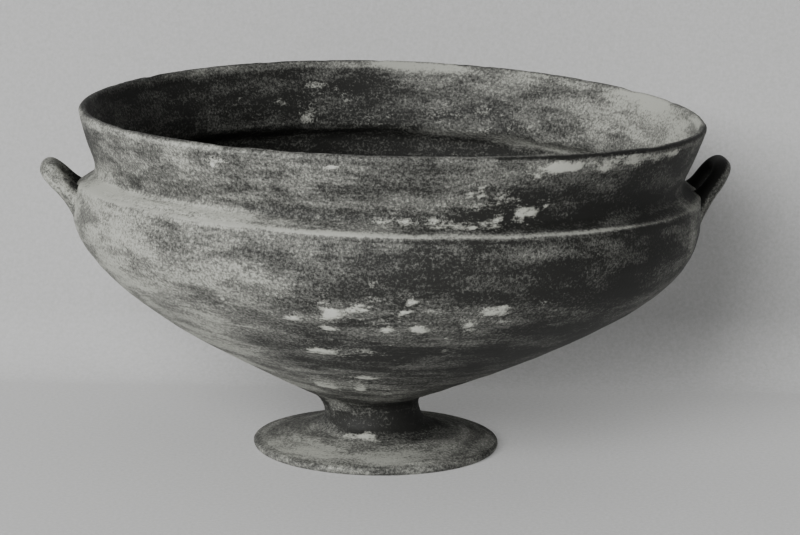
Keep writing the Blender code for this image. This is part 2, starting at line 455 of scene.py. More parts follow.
@dataclass
class TurnedVessel:
    """Foot, stem, bowl and neck, turned on the wheel and marked by hand, wear and age, with painted light
    and painted shade in some marks.
    """

    outline: Outline
    slump: Slump
    marks: tuple[Mark, ...]
    around: int = 384
    ring_depth_outside: float = 0.00010
    ring_depth_inside: float = 0.00026
    ring_spacing: float = 0.0042
    # How fast rings change around the wall, against along it
    ring_pace: float = 0.05
    # Finer rings and dents: their depth, their pace around the wall and their size, as shares
    fine_rings: tuple[float, float, float] = (0.5, 3.0, 0.45)
    fine_dents: tuple[float, float] = (0.45, 0.36)
    dent_depth: float = 0.00026
    dent_size: float = 0.034
    edge_wear: float = 0.00030
    chip_size: float = 0.0075
    fine_chip_size: float = 0.0031
    fine_chip_share: float = 0.6
    crest_band: float = 0.0012
    crest_reach: float = 0.0029
    lip_start: float = 0.0030
    lip_full: float = 0.0008
    lip_calm: float = 0.75
    deposit_height: float = 0.00022
    # Strengths of lime at which its thickness starts and is full
    deposit_range: tuple[float, float] = (0.6, 1.1)
    # Heights over which relief fades in above the flat resting ring
    rest_range: tuple[float, float] = (0.0002, 0.0026)

    def line(self) -> tuple[np.ndarray, int]:
        """Return the whole outline, and how many of its points lie outside, the lip's half included."""
        outside, lip, inside = self.outline.outside(), self.outline.lip(), self.outline.inside()
        return np.vstack([outside, lip, inside]), len(outside) + len(lip) // 2

    def grid(self) -> tuple[Wall, np.ndarray]:
        """Lay the grid of azimuths and outline points.

        Returns:
            The wall's places, each array (outline points, azimuths), and the outward directions
            (outline points, 2) as radius and height.
        """
        line, outside_count = self.line()
        along = np.concatenate([[0.0], np.cumsum(np.linalg.norm(np.diff(line, axis=0), axis=1))])
        step = np.gradient(line, axis=0)
        step /= np.linalg.norm(step, axis=1)[:, None]
        outward = np.column_stack([step[:, 1], -step[:, 0]])
        azimuth = np.linspace(0.0, 2.0 * math.pi, self.around, endpoint=False)
        inside = (np.arange(len(line)) >= outside_count)[:, None]
        shape = (len(line), self.around)
        arrays = (azimuth[None, :], line[:, :1], line[:, 1:], along[:, None], inside)
        return Wall(*(np.broadcast_to(a, shape) for a in arrays)), outward

    def wheel_place(self, wall: Wall) -> np.ndarray:
        """Places for marks that follow the wheel: (r cos a, r sin a, length along the outline)."""
        across, deep = wall.radius * np.cos(wall.azimuth), wall.radius * np.sin(wall.azimuth)
        return np.stack([across, deep, wall.along], axis=-1)

    def relief(self, wall: Wall, layers: dict[str, np.ndarray]) -> np.ndarray:
        """Work out how far each place stands out from the true outline.

        It is the sum of throwing rings (noise that changes fast along the outline and slowly around
        it), broad dents, wear that eats the crest and the lip, and the thickness of pale deposits.

        Args:
            wall: the wall's places.
            layers: strengths of the marks.

        Returns:
            Array of heights in metres, outwards positive.
        """
        place = self.wheel_place(wall) * (self.ring_pace, self.ring_pace, 1.0)
        rings = lattice_noise(place, self.ring_spacing, Seed.RINGS)
        share, pace, size = self.fine_rings
        fine_place = place * (pace, pace, 1.0)
        rings += share * lattice_noise(fine_place, self.ring_spacing * size, Seed.FINE_RINGS)
        depth = np.where(wall.inside, self.ring_depth_inside, self.ring_depth_outside)
        across, deep = wall.radius * np.cos(wall.azimuth), wall.radius * np.sin(wall.azimuth)
        solid_place = np.stack([across, deep, wall.height], axis=-1)
        dents = lattice_noise(solid_place, self.dent_size, Seed.DENTS)
        share, size = self.fine_dents
        dents += share * lattice_noise(solid_place, self.dent_size * size, Seed.FINE_DENTS)
        shape = self.outline
        crest = np.exp(-(((wall.height - shape.crest_height) / self.crest_band) ** 2))
        crest *= wall.radius > shape.crest_radius - self.crest_reach
        rim = shape.rim_height
        lip = smooth_step(wall.height, rim - self.lip_start, rim - self.lip_full)
        chips = smooth_step(lattice_noise(solid_place, self.chip_size, Seed.CHIPS), 0.15, 0.75)
        fine_chips = lattice_noise(solid_place, self.fine_chip_size, Seed.FINE_CHIPS)
        chips += self.fine_chip_share * smooth_step(fine_chips, 0.2, 0.8)
        wear = self.edge_wear * (crest + lip) * chips
        deposit = self.deposit_height * smooth_step(layers[Layer.LIME_AND_HIGHLIGHT.value], *self.deposit_range)
        calm = smooth_step(wall.height, *self.rest_range) * (1.0 - self.lip_calm * lip)
        return (depth * rings + self.dent_depth * dents) * calm - wear + deposit

    def layers(self, wall: Wall) -> dict[str, np.ndarray]:
        """Add up the marks of each layer on the wall.

        A mark's height is turned into a length along the outline, on its side of the wall. Outside,
        only rows from the foot's edge up take marks.

        Args:
            wall: the wall's places.

        Returns:
            One array of strengths for each layer's name.
        """
        found = {layer.value: np.zeros(wall.height.shape) for layer in Layer}
        edge = int(np.argmax(wall.radius[: len(self.outline.foot()), 0]))
        for seed, mark in enumerate(self.marks):
            on_side = wall.inside == bool(mark.side.value)
            rows = np.flatnonzero(on_side[:, 0])
            rows = rows[::-1] if mark.side is Side.INSIDE else rows[edge:]
            centre = np.interp(mark.height, wall.height[rows, 0], wall.along[rows, 0])
            turn = np.angle(np.exp(1j * (wall.azimuth - math.radians(mark.azimuth))))
            share = mark.share(turn * wall.radius, wall.along - centre, seed)
            found[mark.layer.value] += on_side * share
        return found

    def surface(self) -> Surface:
        """Build the closed shell: rows around the axis, and one point at each pole.

        Returns:
            The shell with its wheel places and layers.
        """
        wall, outward = self.grid()
        layers = self.layers(wall)
        relief = self.relief(wall, layers)
        radius = wall.radius + relief * outward[:, :1]
        height = wall.height + relief * outward[:, 1:]
        rows = self.slump.bend(radius[1:-1], wall.azimuth[1:-1], height[1:-1])
        poles = self.slump.bend(np.zeros(2), np.zeros(2), wall.height[[0, -1], 0])
        values = {"wheel_place": self.wheel_place(wall), **layers}
        kept = {
            name: np.concatenate([value[1:-1].reshape(-1, *value.shape[2:]), value[[0, -1], 0]])
            for name, value in values.items()
        }
        return Surface(np.vstack([rows.reshape(-1, 3), poles]), self.faces(len(rows)), kept)

    def faces(self, row_count: int) -> list[np.ndarray]:
        """Return the quads between rows, and the triangles around both poles."""
        j = np.arange(self.around)
        k = (j + 1) % self.around
        i = np.arange(row_count - 1)[:, None] * self.around
        quads = np.stack([i + j, i + k, i + k + self.around, i + j + self.around], axis=-1).reshape(-1, 4)
        last = (row_count - 1) * self.around
        bottom = np.stack([np.full_like(j, row_count * self.around), k, j], axis=-1)
        top = np.stack([last + j, last + k, np.full_like(j, row_count * self.around + 1)], axis=-1)
        return [quads, bottom, top]

    def outer_wall(self, azimuth: Any, height: Any, depth: float) -> np.ndarray:
        """Return places a little below the outside of the bowl.

        Args:
            azimuth: azimuths in radians.
            height: true heights above the stem.
            depth: how far below the outside, towards the axis.

        Returns:
            Array (..., 3) of places in the row frame.
        """
        outside = self.outline.outside()
        above = outside[outside[:, 1] > self.outline.bowl_start_height]
        radius = np.interp(height, above[:, 1], above[:, 0]) - depth
        return self.slump.bend(radius, azimuth, height)


@dataclass
class LoopHandle:
    """A round rod bent into a flat loop, its two roots smoothed out over the bowl by thumb."""

    vessel: TurnedVessel
    azimuth: float
    rise: float
    reach: float
    root_below_crest: float
    rod_radius: float = 0.0036
    leg_spacing: float = 0.0210
    corner_radius: float = 0.0080
    root_half_width: float = 0.0066
    root_half_height: float = 0.0096
    root_drop: float = 0.0016
    root_spread: float = 0.0100
    root_power: float = 2.6
    middle_depth: float = 0.00225
    sunk: float = 0.0004
    sides: int = 28
    steps: int = 20
    leg_crowding: float = 1.6
    squeeze: float = 0.00022
    squeeze_size: float = 0.009
    streak_depth: float = 1.5
    # Tone of the rod: the underside lighter on the lit left handle as painted light, and painted shade on
    # the upper side near the roots, where the loop's inner face and gap lie in shade
    wear_and_light_under: float = 0.0
    painted_shade_above: float = 0.0
    dark_reach: float = 0.05
    dark_fade: float = 0.4
    dark_from: float = -0.25
    dark_edge: float = 0.6

    def path(self) -> tuple[np.ndarray, np.ndarray]:
        """Points and directions along the flat loop: out along a leg, across the tip and back.

        Returns:
            Two arrays (points, 2) as distance out and to the side.
        """
        half = self.leg_spacing / 2
        straight = self.reach - self.corner_radius
        legs = np.linspace(0.0, 1.0, self.steps)[:-1] ** self.leg_crowding * straight
        corner = (self.reach - self.corner_radius, self.corner_radius - half)
        bend = arc(corner, self.corner_radius, -90.0, 0.0, 9)
        side = np.vstack([np.column_stack([legs, np.full(len(legs), -half)]), bend])
        points = np.vstack([side, (side * (1.0, -1.0))[::-1]])
        along = np.gradient(points, axis=0)
        along[0], along[-1] = (1.0, 0.0), (-1.0, 0.0)
        return points, along / np.linalg.norm(along, axis=1)[:, None]

    def surface(self) -> Surface:
        """Sweep the rod along its loop and spread both ends out over the bowl.

        A ring is rod (1 - s) + root s. The rod's ring is its middle + r (cos t across + sin t above);
        the root's is an oval on the bowl; s = (1 - d / spread)^power at the distance d from the wall.

        Returns:
            The closed shell with its wheel places and layers.
        """
        vessel, shape = self.vessel, self.vessel.outline
        centre, slope = math.radians(self.azimuth), math.radians(self.rise)
        root_height = shape.crest_height - self.root_below_crest
        root = vessel.outer_wall(centre, root_height, self.middle_depth)
        outward = np.array([math.cos(centre), math.sin(centre), 0.0])
        sideways = np.array([-math.sin(centre), math.cos(centre), 0.0])
        up = np.array([0.0, 0.0, 1.0])
        climb = math.cos(slope) * outward + math.sin(slope) * up
        above = math.cos(slope) * up - math.sin(slope) * outward
        turns = np.linspace(0.0, 2.0 * math.pi, self.sides, endpoint=False)
        flat, along = self.path()
        run = np.concatenate([[0.0], np.cumsum(np.linalg.norm(np.diff(flat, axis=0), axis=1))])
        to_root = np.minimum(run, run[-1] - run)[:, None]
        across = along[:, :1] * sideways - along[:, 1:] * climb
        middle = root + flat[:, :1] * climb + flat[:, 1:] * sideways
        round_rod = np.cos(turns)[None, :, None] * across[:, None, :] + np.sin(turns)[None, :, None] * above
        rod = middle[:, None, :] + self.rod_radius * round_rod
        lumps = lattice_noise(rod, self.squeeze_size, Seed.SQUEEZE)[..., None]
        rod += self.squeeze * lumps * round_rod
        facing = -np.sign(flat[:, 1:])
        spread_side = -facing * self.leg_spacing / 2 + facing * self.root_half_width * np.cos(turns)
        spread_height = root_height - self.root_drop + self.root_half_height * np.sin(turns)
        spread_azimuth = centre + np.arcsin(spread_side / shape.crest_radius)
        spread_height = np.broadcast_to(spread_height, spread_side.shape)
        spread = vessel.outer_wall(spread_azimuth, spread_height, self.sunk)
        share = np.maximum(0.0, 1.0 - to_root / self.root_spread)[..., None] ** self.root_power
        rings = rod * (1.0 - share) + spread * share
        return self.shell(rings, run)

    def shell(self, rings: np.ndarray, run: np.ndarray) -> Surface:
        """Close the rings into a shell, with a point in the middle of each end.

        The tone goes from the underside's value, partly painted light, to painted shade on the upper side,
        but only as far from the roots as dark_reach.

        Args:
            rings: array (rings, sides, 3).
            run: length along the loop at each ring.

        Returns:
            The shell with its wheel places and layers.
        """
        count = len(rings)
        j = np.arange(self.sides)
        k = (j + 1) % self.sides
        i = np.arange(count - 1)[:, None] * self.sides
        quads = np.stack([i + j, i + k, i + k + self.sides, i + j + self.sides], axis=-1).reshape(-1, 4)
        total, last = count * self.sides, (count - 1) * self.sides
        ends = [
            np.stack([np.full_like(j, total), k, j], axis=-1),
            np.stack([last + j, last + k, np.full_like(j, total + 1)], axis=-1),
        ]
        caps = np.stack([rings[0].mean(axis=0), rings[-1].mean(axis=0)])
        points = np.vstack([rings.reshape(-1, 3), caps])
        # Streaks run along the rod, so the third part of the place goes around it
        above = np.sin(2.0 * math.pi * j / self.sides)
        round_rod = np.concatenate([np.tile(above, count), np.zeros(2)])
        turn = self.streak_depth * self.rod_radius * round_rod + self.azimuth
        place = np.column_stack([points[:, :2], turn])
        upper = smooth_step(above, self.dark_from, self.dark_from + self.dark_edge)
        to_root = np.minimum(run, run[-1] - run)
        fade = self.dark_reach * self.dark_fade
        near = 1.0 - smooth_step(to_root, self.dark_reach - fade, self.dark_reach + fade)
        # Painted shade on the upper side near the roots, laid over the underside's tone
        wear = self.wear_and_light_under + (self.painted_shade_above - self.wear_and_light_under) * near[:, None] * upper
        wear = np.concatenate([wear.ravel(), np.zeros(2)])
        values = {"wheel_place": place, Layer.LIME_AND_HIGHLIGHT.value: np.zeros(len(points)), Layer.WEAR_LIGHT_AND_SHADE.value: wear}
        return Surface(points, [quads, *ends], values)


def join_surfaces(name: str, surfaces: list[Surface]) -> bpy.types.Object:
    """Make one object from several shells, smooth all over, with their values as attributes.

    Args:
        name: the object's name.
        surfaces: the shells, all with the same named values.

    Returns:
        The new object, at the origin and linked to the scene.
    """
    starts = np.cumsum([0] + [len(s.points) for s in surfaces])
    points = np.vstack([s.points for s in surfaces])
    faces = [f + start for s, start in zip(surfaces, starts) for f in s.faces]
    corners = np.concatenate([f.ravel() for f in faces]).astype(np.int32)
    sizes = np.concatenate([np.full(len(f), f.shape[1]) for f in faces]).astype(np.int32)
    mesh = bpy.data.meshes.new(name)
    mesh.vertices.add(len(points))
    mesh.vertices.foreach_set("co", points.astype(np.float32).ravel())
    mesh.loops.add(len(corners))
    mesh.loops.foreach_set("vertex_index", corners)
    mesh.polygons.add(len(sizes))
    mesh.polygons.foreach_set("loop_start", (np.cumsum(sizes) - sizes).astype(np.int32))
    mesh.polygons.foreach_set("use_smooth", np.ones(len(sizes), bool))
    for key in surfaces[0].values:
        value = np.concatenate([s.values[key] for s in surfaces]).astype(np.float32)
        vector = value.ndim == 2
        layer = mesh.attributes.new(key, "FLOAT_VECTOR" if vector else "FLOAT", "POINT")
        layer.data.foreach_set("vector" if vector else "value", value.ravel())
    mesh.update(calc_edges=True)
    mesh.validate()
    thing = bpy.data.objects.new(name, mesh)
    bpy.context.scene.collection.objects.link(thing)
    return thing


@dataclass(frozen=True)
class Pattern:
    """A fractal noise on the clay: the size of its grains, and how far it is drawn out sideways."""

    size_mm: float
    detail: float
    roughness: float
    drawn_out: float = 1.0
    on_wheel: bool = True


@dataclass(frozen=True)
class SlipWornClay:
    """Slip-worn fired clay: grey ware with a matt dark slip, thrown on the wheel and fired.

    The eye sees a dry, gritty surface without gloss, streaked level with the rim where the slip has
    worn thin, and flaked lime-white where deposits cling.
    """

    name: str = "slip-worn fired clay"
    slip: str = "2a2a28"
    thin_slip: str = "747470"
    bare_clay: str = "b6b6af"
    # Colour of the lime, also used for the painted highlight on the crest and ledge
    lime: str = "d2d2ca"
    ior: float = 1.5
    base_wear: float = 0.39
    # Throwing lines, drags of the sponge and clouds of the firing, from their sizes in mm
    streaks: Pattern = Pattern(1.9, 4.0, 0.70, 20.0)
    smears: Pattern = Pattern(8.0, 6.0, 0.68, 2.8)
    clouds: Pattern = Pattern(24.0, 3.0, 0.60, 1.5, False)
    # Temper grains of 0.1-0.3 mm, drawn at 1 mm and less so that they show
    speckle: Pattern = Pattern(1.00, 3.0, 0.85, 1.0, False)
    grit: Pattern = Pattern(1.7, 2.0, 0.65, 1.0, False)
    flakes: Pattern = Pattern(4.0, 6.0, 0.72, 1.9)
    # Shares of streaks, patches, clouds and speckle in the wear
    wear_weights: tuple[float, ...] = (0.45, 0.36, 0.50, 2.30)
    patch_range: tuple[float, float] = (0.40, 0.60)
    # Shares of the lime's zone, of flakes and of speckle in the scraps, and where a scrap starts and is full
    zone_weight: float = 0.62
    scrap_weights: tuple[float, float] = (2.0, 1.1)
    scrap_range: tuple[float, float] = (0.34, 0.88)
    scrap_cover: float = 0.95
    roughness_range: tuple[float, float] = (0.70, 0.94)
    # Heights in metres of throwing lines, grit, temper grains and edges of flakes
    relief_depths: tuple[float, ...] = (0.00009, 0.00012, 0.00006, 0.00014)
    relief_strength: float = 0.8

    def build(self) -> bpy.types.Material:
        """Make the material.

        Returns:
            The material, its patterns on Object coordinates and on the wall's own attributes.
        """
        material = bpy.data.materials.new(self.name)
        material.use_nodes = True
        tree = material.node_tree
        shader = tree.nodes["Principled BSDF"]
        shader.inputs["IOR"].default_value = self.ior
        shader.inputs["Metallic"].default_value = 0.0
        solid = add_node(tree, "ShaderNodeTexCoord", output="Object")
        wheel = add_node(tree, "ShaderNodeAttribute", {"attribute_name": "wheel_place"}, output="Vector")
        zones = [
            add_node(tree, "ShaderNodeAttribute", {"attribute_name": layer.value}, output="Fac")
            for layer in (Layer.LIME_AND_HIGHLIGHT, Layer.WEAR_LIGHT_AND_SHADE)
        ]
        noises = []
        for pattern in (self.streaks, self.smears, self.clouds, self.speckle, self.grit, self.flakes):
            squeeze = (1.0 / pattern.drawn_out, 1.0 / pattern.drawn_out, 1.0)
            source = wheel if pattern.on_wheel else solid
            place = add_node(tree, "ShaderNodeMapping", {}, {"Vector": source, "Scale": squeeze})
            settings = {"Scale": 1000.0 / pattern.size_mm, "Detail": pattern.detail}
            settings |= {"Vector": place, "Roughness": pattern.roughness}
            noises.append(add_node(tree, "ShaderNodeTexNoise", {}, settings, "Fac"))
        streaks, smears, clouds, speckle, grit, flakes = noises
        # How far the slip has worn, with the painted light and painted shade of the marks added in: 0 is
        # thick dark slip, 0.5 thin slip, 1 bare clay
        start = self.base_wear - 0.5 * sum(self.wear_weights)
        worn = add_node(tree, "ShaderNodeMath", {"operation": "ADD"}, {0: zones[1], 1: start})
        smooth = {"interpolation_type": "SMOOTHSTEP"}
        ends = {"Value": smears, "From Min": self.patch_range[0], "From Max": self.patch_range[1]}
        patches = add_node(tree, "ShaderNodeMapRange", smooth, ends)
        for noise, weight in zip((streaks, patches, clouds, speckle), self.wear_weights):
            parts = {0: noise, 1: weight, 2: worn}
            worn = add_node(tree, "ShaderNodeMath", {"operation": "MULTIPLY_ADD"}, parts)
        colour = {"data_type": "RGBA"}
        thinned = add_node(tree, "ShaderNodeMapRange", {}, {"Value": worn, "From Max": 0.5})
        bared = add_node(tree, "ShaderNodeMapRange", {}, {"Value": worn, "From Min": 0.5, "From Max": 1.0})
        ends = {0: thinned, 6: linear(self.slip), 7: linear(self.thin_slip)}
        tone = add_node(tree, "ShaderNodeMix", colour, ends, 2)
        tone = add_node(tree, "ShaderNodeMix", colour, {0: bared, 6: tone, 7: linear(self.bare_clay)}, 2)
        # Lime clings mostly inside its zones, and flakes off in ragged scraps a few mm across; on the crest
        # and ledge the zones also paint a highlight
        parts = {0: zones[0], 1: self.zone_weight}
        scraps = add_node(tree, "ShaderNodeMath", {"operation": "MULTIPLY"}, parts)
        for noise, weight in zip((flakes, speckle), self.scrap_weights):
            parts = {0: noise, 1: weight, 2: scraps}
            scraps = add_node(tree, "ShaderNodeMath", {"operation": "MULTIPLY_ADD"}, parts)
        low, high = (0.5 * sum(self.scrap_weights) + end for end in self.scrap_range)
        ends = {"Value": scraps, "From Min": low, "From Max": high, "To Max": self.scrap_cover}
        limed_and_highlit = add_node(tree, "ShaderNodeMapRange", smooth, ends)
        tone = add_node(tree, "ShaderNodeMix", colour, {0: limed_and_highlit, 6: tone, 7: linear(self.lime)}, 2)
        tree.links.new(tone, shader.inputs["Base Color"])
        ends = {"Value": worn, "To Min": self.roughness_range[0], "To Max": self.roughness_range[1]}
        dry = add_node(tree, "ShaderNodeMapRange", {}, ends)
        tree.links.new(dry, shader.inputs["Roughness"])
        # Relief too fine for the mesh
        parts = {0: streaks, 1: self.relief_depths[0]}
        relief = add_node(tree, "ShaderNodeMath", {"operation": "MULTIPLY"}, parts)
        for noise, depth in zip((grit, speckle, limed_and_highlit), self.relief_depths[1:]):
            parts = {0: noise, 1: depth, 2: relief}
            relief = add_node(tree, "ShaderNodeMath", {"operation": "MULTIPLY_ADD"}, parts)
        lumps = {"Strength": self.relief_strength, "Distance": 1.0, "Height": relief}
        tree.links.new(add_node(tree, "ShaderNodeBump", {}, lumps), shader.inputs["Normal"])
        return material


@dataclass(frozen=True)
class PaleSheet:
    """Matt white paper, faintly mottled, that the vessel stands on and before.

    It has no back: seen from behind, it doesn't hide the vessel.
    """

    name: str = "matt white paper"
    colour: str = "bababa"
    shade: str = "adadac"
    mottle_mm: float = 1.5

    def build(self) -> bpy.types.Material:
        """Make the material.

        Returns:
            The material.
        """
        material = bpy.data.materials.new(self.name)
        material.use_nodes = True
        tree = material.node_tree
        shader = tree.nodes["Principled BSDF"]
        shader.inputs["Roughness"].default_value = 0.95
        solid = add_node(tree, "ShaderNodeTexCoord", output="Object")
        settings = {"Vector": solid, "Scale": 1000.0 / self.mottle_mm, "Detail": 2.0, "Roughness": 0.8}
        mottle = add_node(tree, "ShaderNodeTexNoise", {}, settings, "Fac")
        share = add_node(tree, "ShaderNodeMapRange", {}, {"Value": mottle, "From Min": 0.3, "From Max": 0.7})
        ends = {0: share, 6: linear(self.shade), 7: linear(self.colour)}
        tree.links.new(
            add_node(tree, "ShaderNodeMix", {"data_type": "RGBA"}, ends, 2), shader.inputs["Base Color"]
        )
        behind = add_node(tree, "ShaderNodeNewGeometry", output="Backfacing")
        clear = add_node(tree, "ShaderNodeBsdfTransparent")
        faced = add_node(tree, "ShaderNodeMixShader", {}, {0: behind, 1: shader.outputs["BSDF"], 2: clear})
        tree.links.new(faced, tree.nodes["Material Output"].inputs["Surface"])
        return material


@dataclass(frozen=True)
class PrintTone:
    """Tones of an old black-and-white print: deep shadows, and whites that fade into the paper's."""

    white: float = 0.53
    middle: float = 0.30
    contrast: float = 1.4
    points: int = 14

    def apply(self) -> None:
        """Set the tone curve: shown = white (1 - exp(-(light / middle)^contrast))."""
        settings = bpy.context.scene.view_settings
        settings.view_transform = "Standard"
        settings.use_curve_mapping = True
        curve = settings.curve_mapping.curves[3]
        light = np.linspace(0.0, 1.0, self.points) ** 2.0
        shown = self.white * (1.0 - np.exp(-((light / self.middle) ** self.contrast)))
        for x, y in zip(light[1:-1], shown[1:-1]):
            curve.points.new(float(x), float(y))
        curve.points[0].location = (0.0, 0.0)
        curve.points[len(curve.points) - 1].location = (1.0, float(shown[-1]))
        settings.curve_mapping.update()


class LitPart(Enum):
    """The part of the picture that a light falls on."""

    VESSEL = "vessel"
    PAPER = "paper"


@dataclass(frozen=True)
class SoftLight:
    """A large soft rectangle of light that faces the vessel."""

    name: str
    azimuth: float
    elevation: float
    distance: float
    width: float
    height: float
    power: float
    lit_part: LitPart
    shadows: bool = True

    def hang(self, aim: Vector, parts: dict[LitPart, list[bpy.types.Object]]) -> None:
        """Put the light up at its azimuth, elevation and distance from the place that it faces.

        Args:
            aim: the place that it faces.
            parts: the objects of each part of the picture. The light falls on one part only, and a
                light without shadows passes through the others.
        """
        turn, lift = math.radians(self.azimuth), math.radians(self.elevation)
        away = Vector((math.cos(turn) * math.cos(lift), math.sin(turn) * math.cos(lift), math.sin(lift)))
        light = bpy.data.lights.new(self.name, "AREA")
        light.shape = "RECTANGLE"
        light.size, light.size_y, light.energy = self.width, self.height, self.power
        lamp = bpy.data.objects.new(self.name, light)
        lamp.location = aim + away * self.distance
        lamp.rotation_euler = (-away).to_track_quat("-Z", "Y").to_euler()
        bpy.context.scene.collection.objects.link(lamp)
        lit = bpy.data.collections.new(f"lit_by_{self.name}")
        for thing in parts[self.lit_part]:
            lit.objects.link(thing)
        lamp.light_linking.receiver_collection = lit
        if not self.shadows:
            lamp.light_linking.blocker_collection = lit


@dataclass
class Studio:
    """Paper, lights and camera."""

    sheet_front: float = 4.0
    sheet_width: float = 8.0
    sheet_bend: float = 0.090
    sheet_round: float = 0.035
    sheet_slope: float = 78.0
    sheet_height: float = 1.5
    soft_lights: tuple[SoftLight, ...] = (
        SoftLight("window", 236.0, 17.0, 3.0, 1.5, 1.0, 72.0, LitPart.VESSEL),
        SoftLight("sheet_light", 248.0, 24.0, 3.0, 1.6, 1.2, 76.0, LitPart.PAPER),
        SoftLight("floor_light", 272.0, 84.0, 3.0, 3.0, 3.0, 48.0, LitPart.PAPER, False),
    )
    ambient: float = 0.115
    camera_place: tuple[float, float, float] = (0.005459, -1.194482, 0.315608)
    camera_down: float = 11.582
    camera_roll: float = 0.889
    lens_mm: float = 141.62
    aim: tuple[float, float, float] = (0.0, 0.0, 0.08)

    def sheet(self, paper: bpy.types.Material) -> bpy.types.Object:
        """Lay a wide sheet under the vessel that bends up behind it.

        Its profile is flat up to the bend, then a circle's arc up to the sheet's steepest slope, then
        straight; the profile is carried along X.

        Args:
            paper: its material.

        Returns:
            The sheet.
        """
        slope = math.radians(self.sheet_slope)
        turns = np.linspace(0.0, slope, 25)[1:]
        flat = np.column_stack([np.linspace(-self.sheet_front, self.sheet_bend, 9), np.zeros(9)])
        bend = self.sheet_round * np.column_stack([np.sin(turns), 1.0 - np.cos(turns)])
        bend += (self.sheet_bend, 0.0)
        rise = np.linspace(0.0, self.sheet_height, 9)[1:, None] * (math.cos(slope), math.sin(slope))
        profile = np.vstack([flat, bend, bend[-1] + rise])
        across = np.linspace(-self.sheet_width / 2, self.sheet_width / 2, 9)
        x, y = np.meshgrid(across, profile[:, 0])
        z = np.broadcast_to(profile[:, 1:], x.shape)
        points = np.stack([x, y, z], axis=-1).reshape(-1, 3)
        i = np.arange(len(profile) - 1)[:, None] * len(across) + np.arange(len(across) - 1)
        faces = np.stack([i, i + 1, i + len(across) + 1, i + len(across)], axis=-1).reshape(-1, 4)
        return self.lay("paper_sheet", points.tolist(), faces.tolist(), paper)

    def floor(self, paper: bpy.types.Material) -> bpy.types.Object:
        """Lay a flat floor on from where the sheet bends up, for views from behind.

        Args:
            paper: its material.

        Returns:
            The floor.
        """
        x, near, far = self.sheet_width / 2, self.sheet_bend, self.sheet_front
        corners = [(-x, near, 0.0), (x, near, 0.0), (x, far, 0.0), (-x, far, 0.0)]
        return self.lay("back_floor", corners, [(0, 1, 2, 3)], paper)

    def lay(self, name: str, points: Any, faces: Any, paper: bpy.types.Material) -> bpy.types.Object:
        """Make one sheet of paper.

        Args:
            name: the object's name.
            points: its points.
            faces: its faces, each the numbers of its points.
            paper: its material.

        Returns:
            The new object.
        """
        mesh = bpy.data.meshes.new(name)
        mesh.from_pydata(points, [], faces)
        mesh.shade_smooth()
        mesh.materials.append(paper)
        thing = bpy.data.objects.new(name, mesh)
        bpy.context.scene.collection.objects.link(thing)
        return thing

    def lights(self, parts: dict[LitPart, list[bpy.types.Object]]) -> None:
        """Hang the soft lights, and let a dim even glow come from all round.

        Args:
            parts: the objects of each part of the picture.
        """
        for light in self.soft_lights:
            light.hang(Vector(self.aim), parts)
        world = bpy.data.worlds.new("even_glow")
        world.use_nodes = True
        world.node_tree.nodes["Background"].inputs["Color"].default_value = (1.0, 1.0, 1.0, 1.0)
        world.node_tree.nodes["Background"].inputs["Strength"].default_value = self.ambient
        bpy.context.scene.world = world

    def camera(self) -> bpy.types.Object:
        """Set the camera where the photograph was taken from.

        Returns:
            The camera.
        """
        data = bpy.data.cameras.new("camera")
        data.sensor_width = 36.0
        data.lens = self.lens_mm
        data.clip_start, data.clip_end = 0.05, 50.0
        down, roll = math.radians(self.camera_down), math.radians(self.camera_roll)
        right = Vector((1.0, 0.0, 0.0))
        up = Vector((0.0, math.sin(down), math.cos(down)))
        back = Vector((0.0, -math.cos(down), math.sin(down)))
        right_rolled = math.cos(roll) * right + math.sin(roll) * up
        up_rolled = -math.sin(roll) * right + math.cos(roll) * up
        turn = Matrix((right_rolled, up_rolled, back)).transposed()
        camera = bpy.data.objects.new("camera", data)
        camera.matrix_world = Matrix.Translation(self.camera_place) @ turn.to_4x4()
        bpy.context.scene.collection.objects.link(camera)
        bpy.context.scene.camera = camera
        return camera


# Broad tone of the slip: wear, mixed with painted light to the left and on the front of the foot, and
# painted shade to the right, where the slip also lies thick and dark, on the underside of the bowl, and
# under the bowl on the stem and the back of the foot
BROAD_WEAR_AND_PAINTED_LIGHT: tuple[Mark, ...] = (
    *marks(
        Layer.WEAR_LIGHT_AND_SHADE,
        Side.OUTSIDE,
        (217, 60, 54, 38, 0.33), (246, 52, 13, 11, -0.3), (241, 60, 11, 8, -0.34),
        (268, 72.7, 12, 5, -0.22), (266, 60, 26, 15, -0.24), (272, 89, 42, 16, -0.19),
        (302, 87, 12, 10, -0.2), (291, 97, 10, 6, 0.16), (288, 87, 20, 18, -0.2),
        (206, 90, 52, 24, 0.21), (246, 85, 17, 9, 0.2), (222, 34, 16, 20, 0.33),
        (229, 77.8, 16, 6, -0.16), (218, 82.6, 11, 6, -0.22), (242, 92, 34, 18, 0.08),
        # The right side darker: thick dark slip, deepened by painted shade
        (318, 58, 56, 40, -0.46), (326, 92, 52, 18, -0.36), (277, 90, 16, 7, -0.12),
        (322, 118, 70, 13, -0.38), (283, 50, 30, 24, -0.2), (260, 48, 20, 11, -0.12),
        # Stem and back of the foot darker: painted shade under the bowl over dark slip; front of the foot
        # lighter: painted light where the lamp falls
        (290, 16.5, 50, 8, -0.42), (322, 8.2, 30, 7, -0.32), (232, 20, 6, 5, 0.45),
        (268, 5.2, 62, 14, 0.34), (200, 120, 25, 10, -0.06), (322, 4, 16, 9, -0.16),
        (256, 4.2, 22, 6, 0.2), (214, 4.5, 15, 8, 0.26), (297, 59, 10, 9, -0.15),
        (268, 119, 44, 11, -0.1), (231, 123, 26, 9, 0.12), (224, 111, 20, 3, -0.2),
        (320, 126.2, 12, 3, -0.22), (294, 116.5, 24, 7, -0.15), (343, 99, 5, 14, 0.2, 0.8),
        (349, 104, 6, 4, 0.25), (348, 92, 4, 12, -0.25), (30, 80, 50, 40, -0.12), (95, 70, 60, 40, 0.08),
        (145, 90, 50, 30, 0.16),
    ),
)
